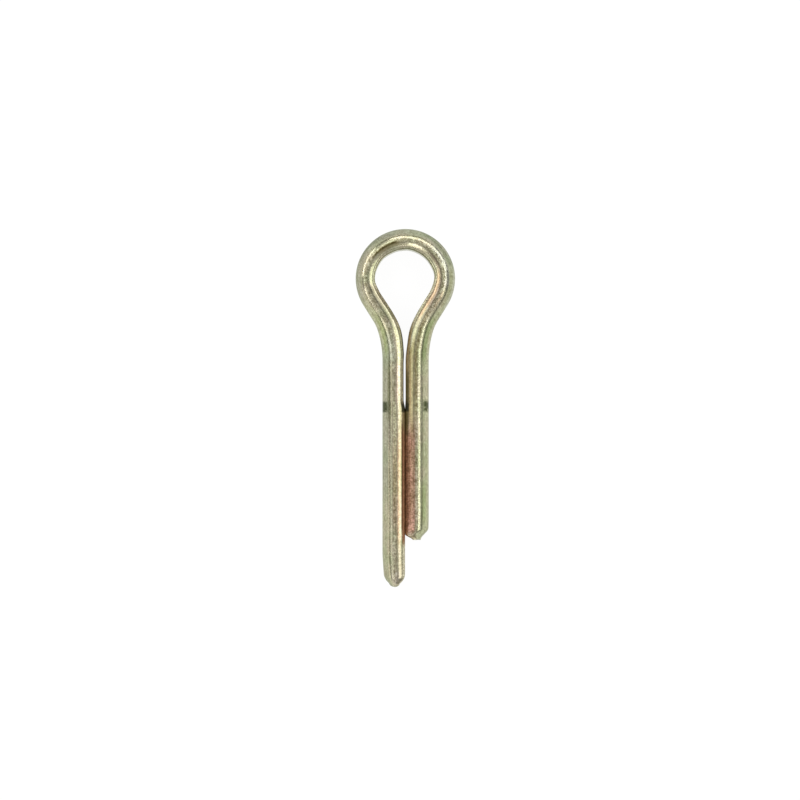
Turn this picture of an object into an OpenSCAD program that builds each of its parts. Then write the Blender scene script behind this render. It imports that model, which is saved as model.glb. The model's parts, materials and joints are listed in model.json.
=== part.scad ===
// Split pin (cotter pin): one length of half-round wire, bent back on itself so that its
// two flat sides face each other. It lies on its side on the plane z = 0, as it comes to
// rest on a table. +Y runs from the leg tips to the eye, and the origin is under the middle
// of the whole pin.

/* [Wire] */
// Diameter of the round shank that the two closed legs make together
pin_d = 5.7; // [5.5:0.05:5.9]
// Thickness of the wire in the straight legs, from its round side to its flat side
leg_t = 2.75; // [2.7:0.01:2.78]
// Thickness of the wire over the top of the eye, where bending has thinned it
eye_t = 2.46; // [2.35:0.01:2.6]
// Radius of the wire's two long corners, beside its flat side
corner_r = 0.4; // [0.3:0.05:0.5]

/* [Eye] */
// Outer diameter of the eye
eye_d = 12.26; // [11.8:0.02:13]

/* [Neck] */
// Slope of the straight stretch between the eye and the neck
taper_deg = 32.1; // [30:0.1:34]
// Radius of the outside of the neck, next to the eye
neck_tight_r = 5.55; // [5:0.05:6]
// Radius of the outside of the neck, where it eases into the shank
neck_easy_r = 12.35; // [11:0.05:15]
// Slope of the neck where its two outer radii meet
neck_turn_deg = 17; // [15:1:19]

/* [Legs] */
// Length of the slot that is left open between the legs, below the neck
slot_len = 6; // [4:0.1:8]
// Clearance left between the closed legs
closed_gap = 0.06; // [0.04:0.01:0.1]
// Length of the short leg, from the neck to its end
leg_len = 22.05; // [15:0.05:50]
// How much further the long leg reaches
leg_extra = 5.8; // [3:0.1:8]

/* [Leg tips] */
// Length of the long leg's rounded point
point_len = 2.6; // [1.8:0.1:3]
// Length of the bevel on the round side of the short leg
bevel_len = 1.75; // [1.2:0.05:2.2]
// Width of that bevel
bevel_w = 1.2; // [0.8:0.05:1.3]
// Width of the small bevel on the flat side of the short leg
edge_bevel_w = 0.75; // [0.5:0.05:0.9]
// Length over which both ends round off towards the top and underside of the pin
end_round_len = 1.3; // [0.8:0.1:2]

/* [Hidden] */
$fn = 96;

crown_r = pin_d / 2;                 // radius of the wire's round side
eye_path_r = eye_d / 2 - crown_r;    // path of the round side's centre round the eye
sink = 0.01;                         // every other stretch is this much slimmer, and
reach = 0.15;                        // runs this far into the stretches beside it
corner_steps = 4;
corner_end_deg = 105;                // how far round the wire's corners are rounded
cheek_steps = 5;                     // stretches over which the wire thins towards the eye
cheek_top_deg = 30;                  // where that starts, above the eye's centre line
tip_step_deg = 15;
past = 1;                            // how far a cutter runs past what it cuts

// The centres of the two outer neck radii, on the +X side. The easy one touches the shank,
// and the straight stretch touches the eye and the tight one, which sets its length.
easy_x = neck_easy_r + crown_r;
tight_x = easy_x - (neck_easy_r - neck_tight_r) * cos(neck_turn_deg);
taper_len = ((eye_d / 2 + neck_tight_r) * cos(taper_deg) - tight_x) / sin(taper_deg);
tight_y = -(eye_d / 2 + neck_tight_r) * sin(taper_deg) - taper_len * cos(taper_deg);
easy_y = tight_y - (neck_easy_r - neck_tight_r) * sin(neck_turn_deg);
taper_t = (leg_t + eye_t) / 2;

// Distances from the eye's centre to the neck's end, to where the legs close and to their ends.
neck_end = -easy_y;
closed_from = neck_end + slot_len;
short_end_at = neck_end + leg_len;
long_end_at = short_end_at + leg_extra;

// Height of the pin's axis above the table, and how far the eye's centre is along it.
corner_top_x = closed_gap / 2 + corner_r * (1 + cos(corner_end_deg));
axis_h = sqrt(pow(crown_r, 2) - pow(corner_top_x, 2));
eye_y = (long_end_at - eye_d / 2) / 2;

// Section of the wire, with its round side to +X about the origin. It is t thick, and the
// corners beside its flat side are rounded. slim takes a little off all round.
module section(t, slim = 0) {
    r = crown_r - slim;
    flat_x = crown_r - t + slim;
    corner_x = flat_x + corner_r;
    corner_z = sqrt(pow(r - corner_r, 2) - pow(corner_x, 2)) + sink;
    corner_step = (corner_end_deg - 180) / corner_steps;
    corner = [for (a = [180 : corner_step : corner_end_deg])
        [corner_x + corner_r * cos(a), corner_z + corner_r * sin(a)]];
    side = concat(corner, [[corner[corner_steps].x, crown_r + past], [2 * crown_r, crown_r + past]]);
    intersection() {
        circle(r);
        polygon(concat(side, [for (i = [len(side) - 1 : -1 : 0]) [side[i].x, -side[i].y]]));
    }
}

// A bend about centre c, at radius r to the round side's centre, from angle a0 to a1.
// The round side faces out of the bend, or into it where inward is true.
module bend(c, r, a0, a1, t, slim = 0, inward = false) {
    extra = slim > 0 ? reach / r * 180 / PI : 0;
    translate([c.x, c.y, 0]) rotate([0, 0, a0 - extra])
        rotate_extrude(angle = a1 - a0 + 2 * extra)
            translate([r, 0]) mirror([inward ? 1 : 0, 0]) section(t, slim);
}

// A straight stretch, len long, from its middle point p and at deg to the Y axis.
module straight(p, deg, len, t, slim = 0) {
    extra = slim > 0 ? reach : 0;
    translate([p.x, p.y, 0]) rotate([0, 0, -deg]) rotate([90, 0, 0])
        translate([0, 0, -len / 2 - extra]) linear_extrude(len + 2 * extra) section(t, slim);
}

// The wire thins by equal steps down the cheek of the eye.
module cheek() {
    step_deg = (cheek_top_deg + taper_deg) / cheek_steps;
    for (i = [0 : cheek_steps - 1])
        bend([0, 0], eye_path_r, -taper_deg + i * step_deg, -taper_deg + (i + 1) * step_deg,
            taper_t + (eye_t - taper_t) * (i + 1) / (cheek_steps + 1), i % 2 == 0 ? 0 : sink);
}

module taper() {
    out = [cos(taper_deg), -sin(taper_deg)];
    down = [-sin(taper_deg), -cos(taper_deg)];
    straight(eye_path_r * out + taper_len / 2 * down, taper_deg, taper_len, taper_t, sink);
}

module neck() {
    bend([tight_x, tight_y], neck_tight_r + crown_r, 180 - taper_deg, 180 - neck_turn_deg,
        (taper_t + leg_t) / 2, 0, true);
    bend([easy_x, easy_y], neck_easy_r + crown_r, 180 - neck_turn_deg, 180, leg_t, sink, true);
}

// Wedge between the legs, above where they close.
module slot() {
    half_w = crown_r - leg_t;
    translate([0, 0, -crown_r - past]) linear_extrude(pin_d + 2 * past)
        polygon([[-past, -neck_end + past], [half_w, -neck_end + past], [half_w, -closed_from + past],
            [0, -closed_from], [-past, -closed_from]]);
}

// A blank end, 2 * w wide about the Y axis and rounded over length h, with its tip at y = 0.
module round_end(w, h) {
    arc = [for (a = [180 : tip_step_deg : 360]) [w * cos(a), h * (1 + sin(a))]];
    polygon(concat(arc, [[w, long_end_at], [-w, long_end_at]]));
}

// The long leg comes to a rounded point, halfway through the wire's thickness.
module long_end() {
    translate([crown_r / 2, 0]) round_end(crown_r / 2 + sink, point_len);
}

// The short leg is cut square, with a bevel in two facets on its round side and a small
// one on its flat side.
module short_end() {
    knee = [crown_r - bevel_w / 5, bevel_len / 2];
    polygon([[edge_bevel_w, 0], [crown_r - bevel_w, 0], knee, [crown_r + sink, bevel_len],
        [crown_r + sink, long_end_at], [-sink, long_end_at], [-sink, edge_bevel_w]]);
}

// A leg that ends at distance end from the eye's centre, in the outline given as its child.
module leg(end) {
    intersection() {
        straight([0, -(neck_end + end) / 2], 0, end - neck_end, crown_r - closed_gap / 2);
        translate([0, -end, -crown_r - past]) linear_extrude(pin_d + 2 * past) children();
        translate([-past, -end, 0]) rotate([0, 90, 0])
            linear_extrude(crown_r + 2 * past) round_end(crown_r + sink, end_round_len);
    }
}

// One half of the pin below the top of the eye, on the +X side, with the outline of its
// leg's end as its child.
module half_of_wire(end) {
    cheek();
    taper();
    neck();
    difference() {
        leg(end) children();
        slot();
    }
}

module split_pin() {
    color([0.66, 0.62, 0.45]) translate([0, eye_y, axis_h]) {
        bend([0, 0], eye_path_r, cheek_top_deg, 180 - cheek_top_deg, eye_t, sink);
        half_of_wire(short_end_at) short_end();
        mirror([1, 0, 0]) half_of_wire(long_end_at) long_end();
    }
}

split_pin();
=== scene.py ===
import json
import math

import bpy
from mathutils import Matrix, Vector


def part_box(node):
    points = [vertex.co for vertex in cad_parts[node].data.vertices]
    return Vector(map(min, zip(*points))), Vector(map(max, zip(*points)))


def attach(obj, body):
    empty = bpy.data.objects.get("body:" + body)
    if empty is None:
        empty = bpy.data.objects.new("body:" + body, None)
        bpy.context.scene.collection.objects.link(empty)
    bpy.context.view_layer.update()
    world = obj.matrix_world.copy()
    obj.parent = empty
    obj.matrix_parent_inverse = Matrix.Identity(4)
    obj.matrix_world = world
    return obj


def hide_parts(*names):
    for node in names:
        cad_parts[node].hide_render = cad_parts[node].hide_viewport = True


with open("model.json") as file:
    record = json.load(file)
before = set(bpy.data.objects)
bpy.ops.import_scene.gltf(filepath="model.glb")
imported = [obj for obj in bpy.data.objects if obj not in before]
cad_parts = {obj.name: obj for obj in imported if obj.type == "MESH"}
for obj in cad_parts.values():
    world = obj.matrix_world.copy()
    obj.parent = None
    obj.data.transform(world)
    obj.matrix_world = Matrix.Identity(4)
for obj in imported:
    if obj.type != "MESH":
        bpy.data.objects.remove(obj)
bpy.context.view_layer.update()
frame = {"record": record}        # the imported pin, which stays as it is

MM = 0.001

# ---------------------------------------------------------------------------
# Sizes
# ---------------------------------------------------------------------------
# What the frame gives
mounts = {mount["name"]: mount for mount in frame["record"]["mounts"]}
pin_low, pin_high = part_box("split_pin")
CROWN_R = mounts["shank"]["dims"]["r_mm"] * MM         # round side of the wire
AXIS_Z = mounts["shank"]["pos_m"][2]
EYE_Y = mounts["eye"]["pos_m"][1]
EYE_R = (pin_high.x - pin_low.x) / 2
LONG_LEG = EYE_Y - pin_low.y                           # eye's centre to the long leg's end

# The wire and its bends
LEG_EXTRA = 5.8 * MM                                   # by which the long leg is longer
# How far the flat side stands past the round side's centre, from the eye's top down each side:
# distance along the wire and place of the flat side, in millimetres
SHORT_SIDE = [(0, -0.27), (1.7, -0.21), (3.3, -0.22), (4.7, -0.31), (6.3, -0.15), (9.8, -0.16),
              (12.3, -0.03), (14, -0.07), (16, 0.0), (20.7, 0.0), (22, 0.065)]
LONG_SIDE = [(0, -0.24), (1.5, -0.27), (3, -0.4), (5.2, -0.48), (6.5, -0.31), (9.5, -0.26),
             (12.4, -0.09), (14.8, -0.18), (16.5, -0.25), (20.7, -0.25), (22, -0.066)]
CORNER_R = 0.33 * MM                                   # the wire's two long corners
LIFT = 0.01 * MM                                       # keeps the wire just clear of the table
SHORT_FLAT = SHORT_SIDE[-1][1] * MM                    # place of the flat side in the short leg
EYE_LEAN = 0.03 * MM                                   # the eye stands this far towards the long leg
TAPER = math.radians(32.1)                             # slope between eye and neck
NECK_TIGHT_R = 5.55 * MM
NECK_EASY_R = 12.35 * MM
NECK_TURN = math.radians(17)                           # slope where the two neck radii meet
SLOT_LEN = 6 * MM                                      # open slot below the neck

# Tips
POINT_LEN = 1.9 * MM                                   # the long leg's rounded point
POINT_FULL = 2.6                                       # how fast it fills out
NOSE_LEN = 0.5 * MM                                    # the round end of that point
NOSE_T = 0.5                                           # its thickness, as a share of the wire's
TIP_T = 0.08                                           # share that is left at the very tip
THIN_LEN = 4.4 * MM                                    # where its round side starts to draw in
THIN_W = 0.16 * MM                                     # and by how much
BEVEL_LEN = 1.45 * MM                                  # bevel on the short leg's round side
BEVEL_W = 0.93 * MM
WORN_LEN = 2.9 * MM                                    # the wear above it
WORN_W = 0.06 * MM
EDGE_LEN = 0.75 * MM                                   # bevel on its flat side
EDGE_W = 0.95 * MM
END_ROUND = 1.3 * MM                                   # rounding towards top and underside
END_HEIGHT = 0.3                                       # share of the height left at the very tip

# Mesh
FLAT_STEPS, CORNER_STEPS, CROWN_STEPS = 6, 7, 46       # edges round the wire's section
TIP_STEP = 0.1 * MM                                    # spacing of the sections along the wire
BEND_STEP = 0.22 * MM
LEG_STEP = 0.4 * MM
BEND_MARGIN = 0.5 * MM                                 # the fine spacing runs on past the slot
ARC_STEPS = 40                                         # points on each arc that the wire follows
WELD = 0.001 * MM
SMOOTH_ANGLE = math.radians(40)

# The line that the centre of the round side follows, on the short leg's side of the eye
EYE_PATH_R = EYE_R - CROWN_R
EASY_PATH_R = NECK_EASY_R + CROWN_R
TIGHT_PATH_R = NECK_TIGHT_R + CROWN_R
TIGHT_X = EASY_PATH_R - (NECK_EASY_R - NECK_TIGHT_R) * math.cos(NECK_TURN)
TAPER_LEN = ((EYE_R + NECK_TIGHT_R) * math.cos(TAPER) - TIGHT_X) / math.sin(TAPER)
TIGHT_Y = -(EYE_R + NECK_TIGHT_R) * math.sin(TAPER) - TAPER_LEN * math.cos(TAPER)
EASY_Y = TIGHT_Y - (NECK_EASY_R - NECK_TIGHT_R) * math.sin(NECK_TURN)

# Lengths along that line
NECK_LEN = EASY_PATH_R * NECK_TURN + TIGHT_PATH_R * (TAPER - NECK_TURN) + TAPER_LEN
EYE_LEN = EYE_PATH_R * (math.pi + 2 * TAPER)
LONG_LEN = LONG_LEG + EASY_Y
SHORT_LEN = LONG_LEN - LEG_EXTRA
WIRE_LEN = SHORT_LEN + LONG_LEN + 2 * NECK_LEN + EYE_LEN
EYE_TOP = SHORT_LEN + NECK_LEN + EYE_LEN / 2
SLOT_END = EYE_LEN / 2 + NECK_LEN + SLOT_LEN           # from the eye's top


def smoothstep(low, high, value):
    t = min(1.0, max(0.0, (value - low) / (high - low)))
    return t * t * (3 - 2 * t)


# ---------------------------------------------------------------------------
# The wire, drawn straight and then bent
# ---------------------------------------------------------------------------
def flat_side(at):
    """Place of the flat side, across the wire, at a distance from the short leg's end."""
    side = SHORT_SIDE if at < EYE_TOP else LONG_SIDE
    from_top = abs(at - EYE_TOP) / MM
    flat = side[-1][1]
    for (start, here), (end, there) in zip(side, side[1:]):
        if from_top < end:
            flat = here + (there - here) * smoothstep(start, end, from_top)
            break
    return flat * MM


def rounded(at, length):
    """How full a rounded end is, from 0 at the tip to 1 where the rounding starts."""
    if at >= length:
        return 1.0
    return math.sqrt(1 - (1 - at / length) ** 2)


def tip_sides(at):
    """The flat side and the round side of the wire, across it, at a distance along it."""
    flat, crown = flat_side(at), -CROWN_R
    if at > WIRE_LEN / 2:
        to_tip = WIRE_LEN - at
        crown += THIN_W * (1 - smoothstep(POINT_LEN / 2, THIN_LEN, to_tip))
        middle = (flat + crown) / 2
        full = 1 - max(0, 1 - to_tip / POINT_LEN) ** POINT_FULL
        full = max(full, NOSE_T * rounded(to_tip, NOSE_LEN), TIP_T)
        return middle + (flat - middle) * full, middle + (crown - middle) * full
    bevel = BEVEL_W * (1 - smoothstep(0, BEVEL_LEN, at))
    bevel += WORN_W * (1 - smoothstep(0, WORN_LEN, at))
    edge = EDGE_W * (1 - smoothstep(0, EDGE_LEN, at))
    return flat - edge, crown + bevel


def tip_height(at):
    """Share of the section's height that is left near a tip."""
    to_tip = min(at, WIRE_LEN - at)
    return END_HEIGHT + (1 - END_HEIGHT) * rounded(to_tip, END_ROUND)


def stations():
    """Distances along the wire at which its section is set, closer where it bends."""
    places = [0.0]
    while places[-1] < WIRE_LEN:
        at = places[-1]
        to_tip = min(at, WIRE_LEN - at)
        if to_tip < POINT_LEN:
            places.append(at + TIP_STEP)
        elif abs(at - EYE_TOP) < SLOT_END + BEND_MARGIN:
            places.append(at + BEND_STEP)
        else:
            places.append(at + LEG_STEP)
    places[-1] = WIRE_LEN
    return places


def extrude(offset):
    bpy.ops.mesh.extrude_region_move(TRANSFORM_OT_translate={"value": offset})


def spin(steps, turn, center_y, center_z):
    """Draws an arc of the section round a line along X."""
    bpy.ops.mesh.spin(steps=steps, angle=-turn, center=(0, center_y, center_z), axis=(1, 0, 0))


def draw_section():
    """Draws the short leg's section at x = 0, with its round side to -Y, from a single point."""
    corner_y = SHORT_FLAT - CORNER_R
    corner_z = math.sqrt((CROWN_R - CORNER_R) ** 2 - corner_y ** 2)
    corner_turn = math.atan2(corner_z, corner_y)

    bpy.ops.mesh.primitive_plane_add(size=MM, location=(0, 0, 0))
    bpy.ops.object.mode_set(mode="EDIT")
    bpy.ops.mesh.select_mode(type="VERT")
    bpy.ops.mesh.merge(type="CENTER")
    bpy.ops.transform.translate(value=(0, SHORT_FLAT, 0))
    for _ in range(FLAT_STEPS):
        extrude((0, 0, corner_z / FLAT_STEPS))
    spin(CORNER_STEPS, corner_turn, corner_y, corner_z)
    spin(CROWN_STEPS, 2 * (math.pi - corner_turn), 0, 0)
    spin(CORNER_STEPS, corner_turn, corner_y, -corner_z)
    for _ in range(FLAT_STEPS):
        extrude((0, 0, corner_z / FLAT_STEPS))
    bpy.ops.mesh.select_all(action="SELECT")
    bpy.ops.mesh.remove_doubles(threshold=WELD)
    bpy.ops.object.mode_set(mode="OBJECT")


def mark_section(mesh):
    """Keeps each point's place round the wire, in degrees: 0 in the middle of the round side, 90 near
    the corners and 180 in the middle of the flat side."""
    around = mesh.attributes.new("around", "FLOAT", "POINT")
    for vertex, mark in zip(mesh.vertices, around.data):
        mark.value = 180 - abs(math.degrees(math.atan2(vertex.co.z, vertex.co.y)))


def draw_wire():
    """Extrudes the section along +X, from the short leg's end to the long leg's end, and keeps each
    point's distance along the wire in millimetres."""
    draw_section()
    wire = bpy.context.object
    wire.name = "bent_wire"
    mark_section(wire.data)
    bpy.ops.object.mode_set(mode="EDIT")
    bpy.ops.mesh.select_all(action="SELECT")
    bpy.ops.mesh.edge_face_add()
    flat, crown, tall, at = SHORT_FLAT, -CROWN_R, 1.0, 0.0
    for place in stations():
        new_flat, new_crown = tip_sides(place)
        new_tall = tip_height(place)
        if place > 0:
            extrude((place - at, 0, 0))
        bpy.ops.transform.translate(value=(0, new_crown - crown, 0))
        bpy.ops.transform.resize(
            value=(1, (new_flat - new_crown) / (flat - crown), new_tall / tall),
            center_override=(place, new_crown, 0))
        flat, crown, tall, at = new_flat, new_crown, new_tall, place
    bpy.ops.mesh.select_all(action="SELECT")
    bpy.ops.mesh.normals_make_consistent(inside=False)
    bpy.ops.object.mode_set(mode="OBJECT")
    along = wire.data.attributes.new("along", "FLOAT", "POINT")
    for vertex, mark in zip(wire.data.vertices, along.data):
        mark.value = vertex.co.x / MM
    return wire


def arc(center, radius, start, end, steps):
    """Points on an arc, its first one left out."""
    angles = [start + (end - start) * i / steps for i in range(1, steps + 1)]
    return [center + radius * Vector((math.cos(a), math.sin(a))) for a in angles]


def bending_path():
    """The line that the wire is bent along, from the short leg's end to the long leg's."""
    easy_centre, tight_centre = Vector((EASY_PATH_R, EASY_Y)), Vector((TIGHT_X, TIGHT_Y))
    at_leg, at_turn, at_taper = math.pi, math.pi - NECK_TURN, math.pi - TAPER
    up = [Vector((0, EASY_Y - SHORT_LEN)), Vector((0, EASY_Y))]
    up += arc(easy_centre, EASY_PATH_R, at_leg, at_turn, ARC_STEPS)
    up += arc(tight_centre, TIGHT_PATH_R, at_turn, at_taper, ARC_STEPS)
    up += arc(Vector((0, 0)), EYE_PATH_R, -TAPER, math.pi / 2, 3 * ARC_STEPS)
    down = [Vector((-point.x, point.y)) for point in reversed(up[:-1])]
    down[-1].y = EASY_Y - LONG_LEN
    points = up + down
    for point in points:
        point.x -= EYE_LEAN * smoothstep(EASY_Y, 0, point.y)

    curve = bpy.data.curves.new("bending_path", "CURVE")
    curve.dimensions = "2D"
    spline = curve.splines.new("POLY")
    spline.points.add(len(points) - 1)
    for knot, point in zip(spline.points, points):
        knot.co = (point.x, EYE_Y + point.y, 0, 1)
    path = bpy.data.objects.new("bending_path", curve)
    bpy.context.collection.objects.link(path)
    return path


def bend(wire):
    """Bends the straight wire along its path."""
    path = bending_path()
    modifier = wire.modifiers.new("bend", "CURVE")
    modifier.object = path
    modifier.deform_axis = "POS_X"
    bpy.ops.object.modifier_apply(modifier=modifier.name)
    bpy.data.objects.remove(path)


def make_pin():
    bpy.ops.object.select_all(action="DESELECT")
    wire = draw_wire()
    bend(wire)
    wire.location.z = AXIS_Z + LIFT
    bpy.ops.object.transform_apply(location=True, rotation=True, scale=True)
    bpy.ops.object.shade_smooth_by_angle(angle=SMOOTH_ANGLE)
    return wire


# ---------------------------------------------------------------------------
# Yellow zinc plate
# ---------------------------------------------------------------------------
def linear(red, green, blue):
    """A colour given as it looks on a screen, from 0 to 255 and not near black, in the shader's
    own units."""
    def channel(value):
        return ((value / 255 + 0.055) / 1.055) ** 2.4
    return (channel(red), channel(green), channel(blue))


class Nodes:
    """Adds nodes to one node tree and links them."""

    def __init__(self, tree):
        self.tree = tree

    def add(self, kind, inputs=None, **settings):
        node = self.tree.nodes.new(kind)
        for name, value in settings.items():
            setattr(node, name, value)
        for name, value in (inputs or {}).items():
            self.feed(node.inputs[name], value)
        return node

    def feed(self, socket, value):
        if isinstance(value, bpy.types.NodeSocket):
            self.tree.links.new(value, socket)
        elif socket.type == "RGBA":
            socket.default_value = (*value, 1)
        else:
            socket.default_value = value

    def math(self, operation, a, b):
        return self.add("ShaderNodeMath", {0: a, 1: b}, operation=operation).outputs[0]

    def times(self, a, b):
        return self.math("MULTIPLY", a, b)

    def plus(self, a, b):
        return self.math("ADD", a, b)

    def larger(self, a, b):
        return self.math("MAXIMUM", a, b)

    def ramp(self, value, stops):
        """stops are pairs of a place and a grey level."""
        node = self.add("ShaderNodeValToRGB", {"Fac": value})
        node.color_ramp.interpolation = "EASE"
        elements = node.color_ramp.elements
        while len(elements) < len(stops):
            elements.new(0.5)
        for element, (place, level) in zip(elements, stops):
            element.position = place
            element.color = (level, level, level, 1)
        return node.outputs["Color"]

    def mix(self, share, a, b, blend="MIX"):
        """Colour a where share is 0 and b where it is 1."""
        node = self.add("ShaderNodeMix", data_type="RGBA", blend_type=blend)
        self.feed(node.inputs["Factor"], share)
        self.feed(node.inputs[6], a)
        self.feed(node.inputs[7], b)
        return node.outputs[2]

    def tint(self, share, base, by):
        """base, which is multiplied by another colour where share is 1."""
        return self.mix(share, base, by, "MULTIPLY")

    def step(self, value, low, high):
        """0 at low and 1 at high, smoothly; low may be the larger."""
        node = self.add("ShaderNodeMapRange", {"Value": value, "From Min": low, "From Max": high},
                        interpolation_type="SMOOTHSTEP")
        return node.outputs["Result"]

    def band(self, value, start, full, fade, end):
        """1 from full to fade, and 0 before start and after end."""
        return self.times(self.step(value, start, full), self.step(value, end, fade))

    def attribute(self, name):
        return self.add("ShaderNodeAttribute", attribute_name=name).outputs["Fac"]

    def noise(self, vector, scale, detail=1.0):
        inputs = {"Vector": vector, "Scale": scale, "Detail": detail}
        return self.add("ShaderNodeTexNoise", inputs).outputs["Fac"]


def new_material(name):
    material = bpy.data.materials.new(name)
    material.use_nodes = True
    material.node_tree.nodes.clear()
    return material, Nodes(material.node_tree)


# GROOVE_SHADE_PLATE is painted shade: the darker colour given to the groove where the legs meet
PLATE, GREEN_PLATE, GROOVE_SHADE_PLATE = linear(199, 191, 164), linear(191, 191, 157), linear(143, 122, 82)

# Stretches of the wire are in millimetres along it, from the short leg's end. Bands are in degrees
# round it. Both are given as the places where they start, are full, fade and end, so what starts at
# -2 or ends past 85 mm or 200 degrees has no soft edge there.
FLANK = (-2, -1, 40, 46)
FLANK_EDGE = (24, 31, 44, 50)
DARK_LINE = (40, 44, 50, 53)
MID = (56, 60, 66, 70)
RUST = (63, 69, 200, 201)
INNER_BAND = (67, 71, 77, 80)
INNER_EDGE = (76, 79, 83, 85)
GROOVE = (82.5, 85.5, 200, 201)
GROOVE_EDGE = (80, 83, 85, 87.5)
RUSTY_STRETCH = (-2, -1, 11.5, 16)
LONG_TIP = (79.6, 81, 90, 91)
SHORT_CLOSED = (28, 25)                                # the slot is closed below 25 mm
LONG_CLOSED = (58.5, 59.5, 76, 77)
GRIP_MARKS = (15.65, 15.95, 16.95, 17.25), (58.85, 59.15, 60.15, 60.45)
# the marks on the inner corners are grip marks and also painted shade where the slot closes
GRIPPED_FLANK, GRIPPED_AND_SHADED_EDGE = (50, 32), (80, 85)
GRIP_MARK_TINT = (0.15, 0.17, 0.1)

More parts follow.
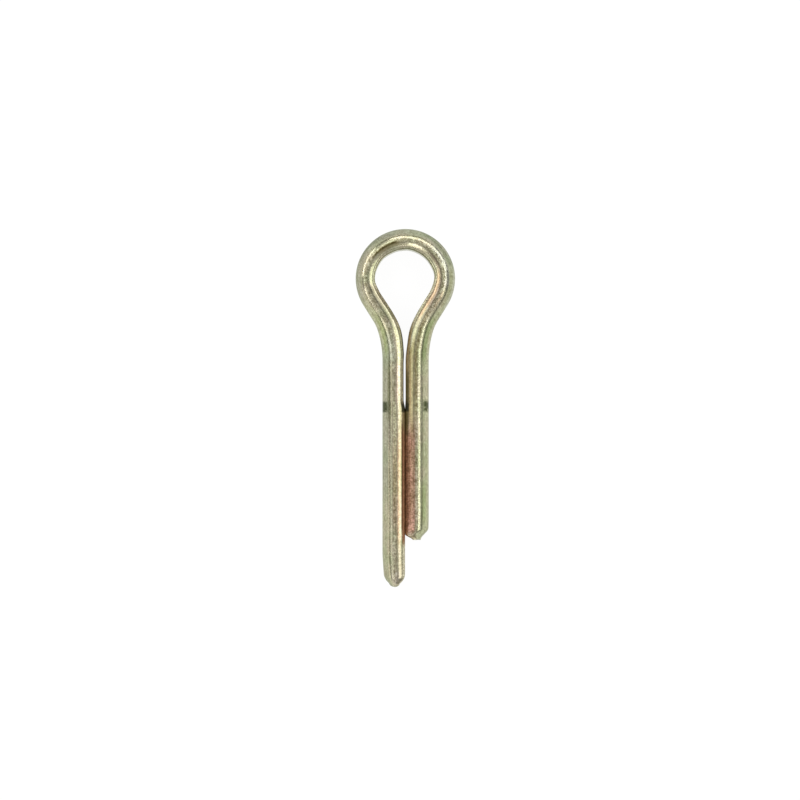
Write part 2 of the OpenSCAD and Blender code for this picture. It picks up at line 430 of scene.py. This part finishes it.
# Stains in the plate, and highlights, reflections and shade painted into it: a stretch, a band, and
# what the plate's colours are multiplied by
STAINS_AND_PAINTED_LIGHT = [
    # green and silver-grey on the flanks, with painted highlights and painted dark reflection lines
    ((-2, -1, 30, 31), FLANK_EDGE, (0.9, 0.93, 0.9)),
    ((1.5, 3, 6, 8), FLANK_EDGE, (0.9, 0.98, 0.82)),
    ((21, 23, 28, 29.5), (25, 32, 46, 52), (0.74, 0.83, 0.66)),
    ((30.2, 30.8, 33, 33.8), (-2, -1, 25, 31), (1.08, 1.08, 1.25)),
    ((30.2, 30.8, 33, 33.8), FLANK_EDGE, (0.82, 0.84, 0.8)),
    ((33, 34, 38, 41), FLANK, (0.82, 0.86, 0.92)),
    ((38.5, 39.2, 44, 45.5), FLANK, (0.78, 0.81, 0.84)),
    ((46, 48.5, 52, 54), (25, 33, 46, 52), (0.85, 0.92, 0.72)),
    ((50, 54, 68, 74), FLANK, (0.75, 0.8, 0.82)),
    # painted dark reflection line beside the outer highlight on the long leg
    ((52.5, 54, 60, 63), DARK_LINE, (0.64, 0.67, 0.57)),
    ((60, 64, 80, 81), (47, 50, 55, 58), (0.86, 0.88, 0.88)),
    # painted highlight: the thin bright line on the long leg's lower part
    ((62, 67, 80, 81), (41, 44, 48, 51), (1.5, 1.47, 1.4)),
    ((55, 57, 64, 67), (48, 51, 56, 59), (0.76, 0.78, 0.74)),
    ((64, 67, 78, 80), (56, 59, 63, 66), (1.12, 1.12, 1.15)),
    # painted highlight: the thin bright line moved onto the eye's side
    ((43.8, 44.8, 46.8, 47.6), DARK_LINE, (1.3, 1.32, 1.25)),
    ((49.5, 51, 53.5, 55), (38, 44, 66, 70), (1.2, 1.2, 1.4)),
    # painted highlight: the inner highlight widened and brightened below the neck
    ((49, 51, 58, 60), (64, 68, 75, 79), (1.17, 1.08, 1.15)),
    ((31.5, 32.7, 35.2, 36.2), (42, 46, 58, 62), (1.08, 1.08, 1.32)),
    # painted dark reflection lines on the eye's flanks
    ((33.6, 34.2, 35.2, 35.9), (24, 29, 38, 43), (0.72, 0.75, 0.68)),
    ((35, 35.6, 36.4, 37.2), (12, 18, 30, 36), (0.7, 0.74, 0.66)),
    ((39.4, 40, 41, 42), (8, 14, 26, 32), (0.74, 0.78, 0.74)),
    ((58, 60, 69, 73), (58, 61, 66, 70), (1.2, 1.26, 1.18)),
    # rust on the inner sides of both legs, olive beside the slot, and painted shade in the inner
    # corners and the groove where the legs meet
    ((0, 1.6, 11.5, 16), RUST, (0.8, 0.5, 0.53)),
    # rust, with painted shade in the inner corner that faces the other leg
    ((1, 3, 11.5, 16), INNER_EDGE, (0.72, 0.62, 0.56)),
    (RUSTY_STRETCH, MID, (0.92, 0.83, 0.88)),
    # painted shade in the inner corner beside the slot
    ((12.5, 16, 23, 25), INNER_EDGE, (0.48, 0.41, 0.29)),
    ((10.5, 14, 24, 27), INNER_BAND, (0.56, 0.54, 0.43)),
    ((13, 17, 28, 30), (58, 62, 67, 70), (0.83, 0.79, 0.66)),
    # painted shade in the groove and its edge where the legs meet, darkest near the slot
    ((-2, -1, 12, 14), GROOVE, (0.84, 0.8, 0.76)),
    ((12, 14, 19.5, 21.5), GROOVE, (0.38, 0.4, 0.21)),
    ((61.5, 63.5, 75.5, 77), GROOVE, (1.2, 0.8, 0.86)),
    ((60.5, 62.5, 74, 75.5), GROOVE_EDGE, (0.4, 0.28, 0.23)),
    ((58, 60, 67, 71), INNER_EDGE, (0.8, 0.8, 0.68)),
    ((60.5, 66, 75, 78), (67, 71, 78, 81), (0.97, 0.8, 0.75)),
    ((62, 67, 73, 76), MID, (0.88, 0.78, 0.73)),
    # peach inside the eye, with darker olive and brighter places, a painted reflection at its top, and
    # painted shade on the long leg's flat side by the slot
    ((27, 28.5, 33, 34), (74, 78, 84, 86), (1.15, 0.94, 0.85)),
    ((29, 30, 35, 36), INNER_BAND, (0.7, 0.63, 0.64)),
    ((29.6, 30.2, 31.4, 32.2), (52, 56, 60, 63), (0.85, 0.78, 0.72)),
    ((32.3, 33.2, 35, 35.8), (61, 64, 67, 70), (1.25, 1.22, 1.3)),
    ((20.6, 21.2, 23, 23.7), (61, 64, 68, 71), (0.76, 0.72, 0.66)),
    ((38.6, 39, 40.9, 41.6), (61.5, 64.5, 68.5, 71), (0.36, 0.32, 0.22)),
    ((38.2, 38.8, 40.4, 41), (64, 68, 75, 79), (0.78, 0.72, 0.6)),
    # painted reflection: a bright patch on the eye's inner wall at its top
    ((34.8, 36, 38.2, 39.4), (77, 80, 86, 88), (1.3, 1.24, 1.3)),
    ((43.5, 44.3, 48.5, 50.5), (67, 71, 78, 81), (0.53, 0.54, 0.53)),
    # painted shade on the long leg's corner and flat side beside the slot
    ((43.5, 45, 58, 61.5), (82, 84.5, 200, 201), (0.55, 0.52, 0.46)),
    # both worn tips, with a painted glint on the short one and painted light on the long one's slopes
    # worn plating and a painted glint on the short tip's facet
    ((-2, -1, 1.1, 1.7), RUST, (1.45, 1.35, 1.45)),
    ((72, 75, 85, 86), (-2, -1, 38, 44), (0.88, 0.9, 0.88)),
    # worn plating and painted light on the long tip's slopes
    ((79.4, 80.4, 85, 86), (48, 52, 75, 80), (1.22, 1.17, 1.3)),
    ((74, 77, 85, 86), (67, 71, 84, 86), (0.76, 0.76, 0.74)),
]


# Noise: its scale per metre, the span of its values that is used, and the tints at both ends
GRAIN_SCALE, GRAIN_SPAN = 4600.0, (0.34, 0.66)
GRAIN_TINTS = (0.6, 0.57, 0.48), (1.4, 1.43, 1.45)
CLUMP_SCALE, CLUMP_SPAN, CLUMPS_IN_MARKS = 1900.0, (0.36, 0.64), (0.25, 0.45)
CLUMP_TINTS = (0.78, 0.76, 0.7), (1.2, 1.22, 1.24)
PATCH_SCALE, PATCH_SPAN, PATCH_DETAIL = 230.0, (0.42, 0.6), 2.0
DRAWN_ALONG, DRAWN_AROUND, DRAWN_SPAN = 0.15, 0.25, (0.35, 0.65)
DRAWN_TINTS = (0.86, 0.88, 0.83), (1.12, 1.1, 1.14)

# Depth of the grain: everywhere, and what is added on the dull bands and in the middle one
GRAIN_DEPTH, DULL_DEPTH, MIDDLE_DEPTH = 0.3, 0.15, 0.38
DULL_FLANK = (40, 34)

# Surface: the base value and what is added where the plate is dull, rusty or in the groove
ROUGH, DULL_ROUGH, RUSTY_ROUGH, GROOVE_ROUGH = 0.215, 0.11, 0.07, 0.2
GROOVE_METAL_LOSS = 0.6
BUMP_STRENGTH, BUMP_DISTANCE = 0.24, 0.02 * MM
CLUMP_BUMP, TIP_BUMP = 1.5, 6.0
SPECULAR_TINT = (0.75, 0.77, 0.72)


def plate_with_stains_and_painted_light(n, along, around, patches, in_groove):
    """Colour of the plate with its stains and its painted highlights, reflections and shade."""
    plate = n.mix(n.step(patches, *PATCH_SPAN), PLATE, GREEN_PLATE)
    # painted shade in the groove where the legs meet
    plate = n.mix(in_groove, plate, GROOVE_SHADE_PLATE)
    for stretch, band, by in STAINS_AND_PAINTED_LIGHT:
        stain_or_painted_light = n.times(n.band(along, *stretch), n.band(around, *band))
        plate = n.tint(stain_or_painted_light, plate, by)
    return plate


def drawn_lines(n, along, around):
    """Tint of the faint lines along the wire, from drawing it through its die."""
    lines_at = n.add("ShaderNodeCombineXYZ", {"X": n.times(along, DRAWN_ALONG),
                                              "Y": n.times(around, DRAWN_AROUND)}).outputs[0]
    lines = n.step(n.noise(lines_at, 1.0), *DRAWN_SPAN)
    return n.mix(lines, *DRAWN_TINTS)


def grip_marks(n, along, around, clumps):
    """1 in the dark grip marks on the flanks where the slot ends, and on the inner corners there,
    where they are also painted shade at the slot's closed end.
    """
    near_slot = n.larger(*(n.band(along, *mark) for mark in GRIP_MARKS))
    marked = n.larger(n.step(around, *GRIPPED_FLANK), n.step(around, *GRIPPED_AND_SHADED_EDGE))
    marked = n.times(marked, n.step(clumps, *CLUMPS_IN_MARKS))
    return n.times(near_slot, marked)


def yellow_zinc():
    material, n = new_material("yellow_zinc")
    around = n.attribute("around")
    along = n.attribute("along")
    place = n.add("ShaderNodeTexCoord").outputs["Object"]
    grain = n.noise(place, GRAIN_SCALE)
    clumps = n.noise(place, CLUMP_SCALE)
    patches = n.noise(place, PATCH_SCALE, PATCH_DETAIL)

    # Where the surface differs
    closed = n.larger(n.step(along, *SHORT_CLOSED), n.band(along, *LONG_CLOSED))
    in_groove = n.times(n.band(around, *GROOVE), closed)
    rusty = n.times(n.band(along, *RUSTY_STRETCH), n.band(around, *RUST))
    middle = n.larger(n.band(around, *MID), rusty)
    dull = n.larger(n.step(around, *DULL_FLANK), middle)
    long_tip = n.band(along, *LONG_TIP)

    # the plate's stains, with highlights, reflections and shade painted into its colour
    plate = plate_with_stains_and_painted_light(n, along, around, patches, in_groove)
    plate = n.tint(1.0, plate, drawn_lines(n, along, around))
    plate = n.tint(grip_marks(n, along, around, clumps), plate, GRIP_MARK_TINT)

    # Grain: strong on the dull bands and in the rust, faint where the wire is polished
    depth = n.plus(n.times(middle, MIDDLE_DEPTH), GRAIN_DEPTH)
    depth = n.plus(n.times(dull, DULL_DEPTH), depth)
    plate = n.tint(depth, plate, n.mix(n.step(grain, *GRAIN_SPAN), *GRAIN_TINTS))
    plate = n.tint(depth, plate, n.mix(n.step(clumps, *CLUMP_SPAN), *CLUMP_TINTS))

    clump_height = n.times(clumps, n.plus(n.times(long_tip, TIP_BUMP), CLUMP_BUMP))
    bumps = n.add("ShaderNodeBump", {"Strength": BUMP_STRENGTH, "Distance": BUMP_DISTANCE,
                                     "Height": n.plus(grain, clump_height)})
    rough = n.plus(n.times(dull, DULL_ROUGH), ROUGH)
    rough = n.plus(rough, n.times(rusty, RUSTY_ROUGH))
    rough = n.plus(rough, n.times(in_groove, GROOVE_ROUGH))
    metal = n.math("SUBTRACT", 1.0, n.times(in_groove, GROOVE_METAL_LOSS))
    shader = n.add("ShaderNodeBsdfPrincipled", {
        "Base Color": plate, "Metallic": metal, "Roughness": rough, "Normal": bumps.outputs[0],
        "Specular Tint": SPECULAR_TINT})
    output = n.add("ShaderNodeOutputMaterial")
    n.feed(output.inputs["Surface"], shader.outputs[0])
    return material


# ---------------------------------------------------------------------------
# Table, lamps and camera
# ---------------------------------------------------------------------------
# The table throws light back at the pin, and glows for the camera, but for a share that the pin's
# shadow darkens. The metal mirrors it as a white pool: how bright it is at shares of POOL_R.
TABLE_W = 3.0
TABLE_LIT, TABLE_GLOW, TABLE_SHADED = 0.8, 0.95, 0.12
POOL_R = 0.25
POOL = [(0.0, 1.0), (0.16, 0.9), (0.4, 0.3), (0.8, 0.12)]

# Brightness of the room by height, from the table's edge at 0 to straight overhead at 1
SKY = [(0.0, 0.12), (0.09, 0.16), (0.16, 0.75), (0.3, 0.75), (0.42, 0.42), (0.7, 0.42), (0.93, 0.5),
       (1.0, 0.4)]

# Lamps: azimuth, where 0 is +X and 90 is +Y, angle from straight above the pin, size as an angle
# seen from the pin, first away from the axis and then across that, and brightness
LAMPS = {
    "left_softbox": (183, 24.8, (19.5, 34), 1.5),
    "right_softbox": (-3, 26, (18, 35), 1.2),
    "left_strip": (190, 76, (4, 32), 1.0),
    "low_left_strip": (202, 81, (4, 16), 2.0),
    "high_left_strip": (153, 86, (5, 42), 3.3),
    "far_left_fill": (120, 65, (14, 50), 0.9),
    "right_strip": (0, 71, (5, 50), 2.5),
    "top_strip": (64, 80, (6, 96), 2.75),
    "top_softbox": (74, 34, (14, 13), 2.0),
}
LAMP_DISTANCE = 0.5
LAMP_WATTS = 4                                         # for a brightness of 1, by the lamp's area

# Camera
PICTURE_W = 800 / 8.12 * MM                            # 800 pixels, 8.12 to a millimetre
PICTURE_CENTRE = Vector((-0.69 * MM, EYE_Y - 14.94 * MM, AXIS_Z))
CAMERA_DISTANCE = 0.6


def make_table():
    """A table that is white to the camera, but for the pin's soft shadow, and white in the metal
    near the pin."""
    bpy.ops.mesh.primitive_plane_add(size=TABLE_W, location=(0, 0, 0))
    table = bpy.context.object
    table.name = "table"
    material, n = new_material("table_white")
    path = n.add("ShaderNodeLightPath")
    place = n.add("ShaderNodeTexCoord").outputs["Object"]
    distance = n.add("ShaderNodeVectorMath", {0: place}, operation="LENGTH").outputs["Value"]
    pool = n.ramp(n.times(distance, 1 / POOL_R), POOL)
    lit = n.add("ShaderNodeBsdfDiffuse", {"Color": (TABLE_LIT,) * 3}).outputs[0]
    in_metal = n.add("ShaderNodeEmission", {"Color": pool}).outputs[0]
    shaded = n.add("ShaderNodeBsdfDiffuse", {"Color": (TABLE_SHADED,) * 3}).outputs[0]
    glow = n.add("ShaderNodeEmission", {"Color": (1, 1, 1), "Strength": TABLE_GLOW}).outputs[0]
    to_camera = n.add("ShaderNodeAddShader", {0: shaded, 1: glow}).outputs[0]
    others = n.add("ShaderNodeMixShader", {
        0: path.outputs["Is Glossy Ray"], 1: lit, 2: in_metal}).outputs[0]
    surface = n.add("ShaderNodeMixShader", {
        0: path.outputs["Is Camera Ray"], 1: others, 2: to_camera}).outputs[0]
    output = n.add("ShaderNodeOutputMaterial")
    n.feed(output.inputs["Surface"], surface)
    table.data.materials.append(material)


def make_world():
    """Pale overhead, brighter towards the walls and dim just above the table's edge."""
    world = bpy.data.worlds.new("studio")
    world.use_nodes = True
    world.node_tree.nodes.clear()
    n = Nodes(world.node_tree)
    direction = n.add("ShaderNodeTexCoord").outputs["Generated"]
    height = n.add("ShaderNodeSeparateXYZ", {0: direction}).outputs["Z"]
    background = n.add("ShaderNodeBackground", {"Color": n.ramp(height, SKY)}).outputs[0]
    output = n.add("ShaderNodeOutputWorld")
    n.feed(output.inputs["Surface"], background)
    bpy.context.scene.world = world


def make_lamp(name, azimuth, off_axis, size, brightness):
    """A rectangular lamp that faces the pin and isn't seen by the camera."""
    turn, tilt = math.radians(azimuth), math.radians(off_axis)
    toward = Vector((math.sin(tilt) * math.cos(turn), math.sin(tilt) * math.sin(turn), math.cos(tilt)))
    across = Vector((-math.sin(turn), math.cos(turn), 0))
    away = across.cross(toward)
    light = bpy.data.lights.new(name, "AREA")
    light.shape = "RECTANGLE"
    light.size, light.size_y = (2 * LAMP_DISTANCE * math.tan(math.radians(s / 2)) for s in size)
    light.energy = brightness * LAMP_WATTS * light.size * light.size_y
    lamp = bpy.data.objects.new(name, light)
    bpy.context.collection.objects.link(lamp)
    place = Vector((0, 0, AXIS_Z)) + toward * LAMP_DISTANCE
    facing = Matrix((away, across, toward)).transposed().to_4x4()
    lamp.matrix_world = Matrix.Translation(place) @ facing
    lamp.visible_camera = False


def make_camera():
    """Straight above the pin."""
    camera = bpy.data.cameras.new("camera")
    camera.lens = camera.sensor_width * CAMERA_DISTANCE / PICTURE_W
    camera.clip_start, camera.clip_end = 0.01, 10
    holder = bpy.data.objects.new("camera", camera)
    bpy.context.collection.objects.link(holder)
    holder.location = PICTURE_CENTRE + Vector((0, 0, CAMERA_DISTANCE))
    bpy.context.scene.camera = holder


bent_wire = make_pin()
bent_wire.data.materials.append(yellow_zinc())
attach(bent_wire, "root")
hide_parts("split_pin")

make_table()
make_world()
for lamp_name, settings in LAMPS.items():
    make_lamp(lamp_name, *settings)
make_camera()
bpy.context.scene.view_settings.view_transform = "Standard"
